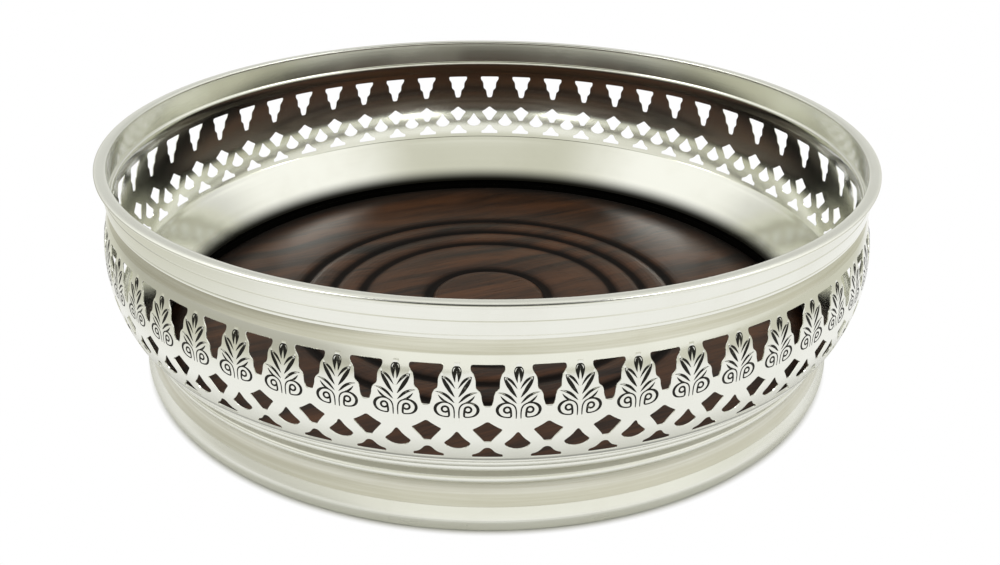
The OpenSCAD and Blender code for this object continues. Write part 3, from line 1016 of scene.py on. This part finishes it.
class COASTER_OT_foot(bpy.types.Operator):
    """Build the spun foot, the two reeds round its waist and the wire round its edge"""

    bl_idname = "coaster.foot"
    bl_label = "Foot"

    def execute(self, context):
        sizes = context.scene.coaster_foot
        silver = finish("polished_silver")
        bead_middle = (sizes.bead_radius / MM, sizes.bead_height / MM)
        bead = arc(bead_middle, sizes.bead_diameter / MM / 2, *BEAD_ANGLES, BEAD_STEPS)
        section = FOOT_TOP + smooth_section(FOOT_WAIST) + bead
        section += smooth_section(FOOT_HOLLOW) + FOOT_RECESS[::-1] + smooth_section(FOOT_INSIDE[::-1])
        foot = turn("spun_foot", section)
        settle(foot, "foot_skirt", silver)
        recess_top, (gap, gap_low) = FOOT_RECESS[0][1], FOOT_RECESS[-1]
        inner = gap + FACE_MARGIN
        shade_gap(foot, lambda radius, height: radius < inner and height < recess_top)

        points, faces = [], []
        for middle, *angles in REEDS:
            ring = turn("one_reed", arc(middle, sizes.reed_diameter / MM / 2, *angles, REED_STEPS))
            first = len(points)
            points += [tuple(v.co) for v in ring.data.vertices]
            faces += [tuple(first + i for i in face.vertices) for face in ring.data.polygons]
            bpy.data.objects.remove(ring)
        reeds = new_piece("waist_reed_pair", points, faces)
        soften(reeds)
        settle(reeds, "waist_reeds", silver)

        lip, pad_top, low = sizes.lip_radius / MM, PAD_BOX[1].z / MM, FOOT_BAND[-1][1]
        section = smooth_section(FOOT_BAND)
        section += [(lip, low), (lip, pad_top), (gap, pad_top), (gap, gap_low - BAND_CLEARANCE)]
        foot_wire = turn("foot_wire_bead", section)
        settle(foot_wire, "foot_wire", silver)
        shade_gap(foot_wire, lambda radius, height: radius < inner and height > pad_top + FACE_MARGIN)
        dress(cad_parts["base_ring"].data, silver)
        return {"FINISHED"}


class COASTER_OT_floor(bpy.types.Operator):
    """Build the turned wooden floor and finish its screws"""

    bl_idname = "coaster.floor"
    bl_label = "Wooden Floor"

    def execute(self, context):
        sizes = context.scene.coaster_floor
        low, shoulder, spigot = WOOD_BOX[0].z / MM, sizes.spigot_height / MM, sizes.spigot_radius / MM
        section = WOOD_TOP + [(WOOD_TOP[-1][0], shoulder), (spigot, shoulder), (spigot, low), (0, low)]
        settle(turn("turned_floor", section), "turned_base", finish("waxed_wood"))
        dress(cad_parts["base_screws"].data, finish("plain_brass"))
        return {"FINISHED"}


class COASTER_OT_pad(bpy.types.Operator):
    """Build the felt pad under the coaster"""

    bl_idname = "coaster.pad"
    bl_label = "Felt Pad"

    def execute(self, context):
        sizes = context.scene.coaster_floor
        radius, thick = PAD_BOX[1].x / MM, (PAD_BOX[1].z - PAD_BOX[0].z) / MM
        edge = [(radius - back, thick * share) for back, share in PAD_EDGE]
        rings, steps, margin = 19, 240, 3
        underside = [(float(ring), 0.0) for ring in np.linspace(radius - margin, margin, rings)]
        pad = turn("felt_pad", [(0, thick), (radius / 2, thick)] + edge + underside + [(0, 0.0)], steps)
        for vertex in pad.data.vertices:
            x, y, z = vertex.co
            out, angle = math.hypot(x, y), math.atan2(y, x)
            if out > (radius - FRAYED_EDGE) * MM:
                wander = 0.5 * math.sin(angle * 37) + 0.3 * math.sin(angle * 83 + 1) - 0.8
                vertex.co.xy *= 1 + sizes.pad_fray * wander / out
            elif z < thick * MM / 2:
                vertex.co.z += sizes.pad_wave * (1 + math.sin(x * 410 + 2) * math.sin(y * 370))
        settle(pad, "baize_pad", finish("wool_felt"))
        return {"FINISHED"}


def studio_world(stage):
    """A white sweep round the horizon, bright sides, and plain walls in front, behind and above."""
    world = bpy.data.worlds.new("studio")
    world.use_nodes = True
    sheet = NodeSheet(world.node_tree)
    across, back, up = sheet.split(sheet.add("ShaderNodeTexCoord", output="Generated"))
    rear = sheet.mix(sheet.smooth(up, 0.45, 0.62), opaque(stage.back_colour, 0.65), opaque(stage.back_colour))
    walls = sheet.mix(sheet.smooth(back, 0.05, 0.35), opaque(stage.room_colour), rear)
    plain = sheet.mix(sheet.smooth(up, 0.74, 0.92), walls, opaque(stage.ceiling_colour))
    ahead = sheet.smooth(across * 0.25 - back, 0.45, 0.8)
    low = (1 - sheet.smooth(up, 0.26, 0.4)) * (0.4 + ahead * 0.3)
    high = sheet.band(up, 0.58, 0.72, 0.84, 0.95) * ahead * 0.5
    sides = sheet.smooth(sheet.math("ABSOLUTE", across), 0.35, 0.8) * sheet.smooth(up, 0.26, 0.42)
    lit = sheet.mix(sheet.largest(low, high, sides), plain, opaque(stage.sweep_colour))
    corner = sheet.smooth(across, -0.35, -0.75) * (1 - sheet.smooth(up, 0.08, 0.2))
    room = sheet.mix(corner * 0.6, lit, opaque(stage.corner_colour))
    seen = sheet.mix(sheet.add("ShaderNodeLightPath", output="Is Camera Ray"), room, WHITE)
    sheet.add("ShaderNodeOutputWorld", (), [sheet.add("ShaderNodeBackground", (), {"Color": seen, "Strength": 1.0})])
    bpy.context.scene.world = world


def floor_finish(stage):
    """Pale floor that keeps the coaster's shadow close to its foot and is white further out; in reflections it glows in
    the studio walls' colour to the sides, and in the shaded corner's colour on the left: painted reflection.
    """
    material, sheet, place = new_finish("pale_floor")
    x, y, _ = sheet.split(place)
    radius = sheet.away(x, y)
    pale = sheet.mix(sheet.noise(place, 60, 3), opaque(stage.floor_colour, 0.97), opaque(stage.floor_colour))
    paper = sheet.add("ShaderNodeBsdfDiffuse", (), {"Color": pale})
    rays = sheet.add("ShaderNodeLightPath").socket.node
    camera, glossy, through = (
        Term(sheet, rays.outputs[f"Is {kind} Ray"]) for kind in ("Camera", "Glossy", "Transmission"))
    # Painted reflection: to glossy rays the floor glows in the walls' colour beyond the sides, darker towards the
    # corner on the left.
    beside = sheet.smooth(sheet.math("ABSOLUTE", x - 0.02), 0.085, 0.16)
    aside = sheet.mix(sheet.smooth(x, -0.13, -0.25) * 0.5, opaque(stage.room_colour), opaque(stage.corner_colour))
    glow = sheet.add(
        "ShaderNodeEmission", (), {"Color": sheet.mix(glossy * beside, WHITE, aside), "Strength": 1.0})
    open_floor = sheet.add(
        "ShaderNodeMapRange", (), {"Value": radius, "From Min": 0.0625, "From Max": 0.08, "To Max": 0.93})
    share = (camera + through) * sheet.smooth(radius, 0.0624, 0.0637) + glossy * open_floor
    sheet.add("ShaderNodeOutputMaterial", (), [sheet.add("ShaderNodeMixShader", (), [share, paper, glow])])
    return material


def soft_lamp(name, place, size, radiance):
    """A square soft lamp of a plain brightness, turned to the coaster's middle."""
    lamp = bpy.data.lights.new(name, "AREA")
    lamp.shape = "SQUARE"
    lamp.size = size
    lamp.energy = radiance * math.pi * size ** 2
    holder = bpy.data.objects.new(name, lamp)
    holder.location = place
    holder.rotation_euler = (Vector((0, 0, 0.02)) - Vector(place)).to_track_quat("-Z", "Y").to_euler()
    bpy.context.scene.collection.objects.link(holder)


class COASTER_OT_stage(bpy.types.Operator):
    """Set the camera, the pale floor and the soft light"""

    bl_idname = "coaster.stage"
    bl_label = "Stage"

    def execute(self, context):
        stage = context.scene.coaster_stage
        scene = context.scene
        scene.view_settings.view_transform = "Standard"
        pitch, yaw, roll = stage.camera_pitch, stage.camera_yaw, stage.camera_roll
        ahead = Vector((math.sin(yaw) * math.cos(pitch), math.cos(yaw) * math.cos(pitch), -math.sin(pitch)))
        right = Vector((math.cos(yaw), -math.sin(yaw), 0))
        up = right.cross(ahead)
        across = math.cos(roll) * right + math.sin(roll) * up
        upward = math.cos(roll) * up - math.sin(roll) * right
        lens = bpy.data.cameras.new("camera")
        lens.lens = stage.lens
        lens.sensor_fit = "HORIZONTAL"
        lens.clip_start = 0.005
        camera = bpy.data.objects.new("camera", lens)
        axes = Matrix((across, upward, -ahead)).transposed().to_4x4()
        camera.matrix_world = Matrix.Translation(stage.camera_place) @ axes
        scene.collection.objects.link(camera)
        scene.camera = camera

        steps, radius, level = 96, stage.floor_radius, -stage.floor_drop
        rim = [(radius * math.cos(a), radius * math.sin(a), level) for a in np.arange(steps) * 2 * math.pi / steps]
        mesh = bpy.data.meshes.new("pale_floor")
        mesh.from_pydata(rim, [], [tuple(range(steps))])
        floor = bpy.data.objects.new("pale_floor", mesh)
        mesh.materials.append(floor_finish(stage))
        scene.collection.objects.link(floor)
        studio_world(stage)
        aside, behind, above = stage.lamp_place
        soft_lamp("left_softbox", (-aside, behind, above), stage.lamp_size, stage.left_lamp)
        soft_lamp("right_softbox", (aside, behind, above), stage.lamp_size, stage.right_lamp)
        return {"FINISHED"}


class COASTER_PT_sidebar(bpy.types.Panel):
    """Sizes, finishes and pieces of the coaster"""

    bl_idname = "COASTER_PT_sidebar"
    bl_label = "Wine Bottle Coaster"
    bl_space_type = "VIEW_3D"
    bl_region_type = "UI"
    bl_category = "Coaster"

    def draw(self, context):
        for name, group, operators in PARTS:
            box = self.layout.box()
            for value in group.__annotations__:
                box.prop(getattr(context.scene, name), value)
            for operator in operators:
                box.operator(operator.bl_idname)


PARTS = (
    ("coaster_stage", StageSizes, [COASTER_OT_stage]),
    ("coaster_wall", WallSizes, [COASTER_OT_pierced_wall]),
    ("coaster_rim", RimSizes, [COASTER_OT_rim]),
    ("coaster_foot", FootSizes, [COASTER_OT_foot]),
    ("coaster_floor", FloorSizes, [COASTER_OT_floor, COASTER_OT_pad]),
    ("coaster_finishes", Finishes, []),
)
CLASSES = [kind for _, group, operators in PARTS for kind in (group, *operators)] + [COASTER_PT_sidebar]


def register():
    for kind in CLASSES:
        bpy.utils.register_class(kind)
    for name, group, _ in PARTS:
        setattr(bpy.types.Scene, name, PointerProperty(type=group))


def unregister():
    for name, _, _ in PARTS:
        delattr(bpy.types.Scene, name)
    for kind in reversed(CLASSES):
        bpy.utils.unregister_class(kind)


def main():
    register()
    bpy.ops.coaster.stage()
    bpy.ops.coaster.pierced_wall()
    bpy.ops.coaster.rim()
    bpy.ops.coaster.foot()
    bpy.ops.coaster.floor()
    bpy.ops.coaster.pad()


if __name__ == "__main__":
    main()
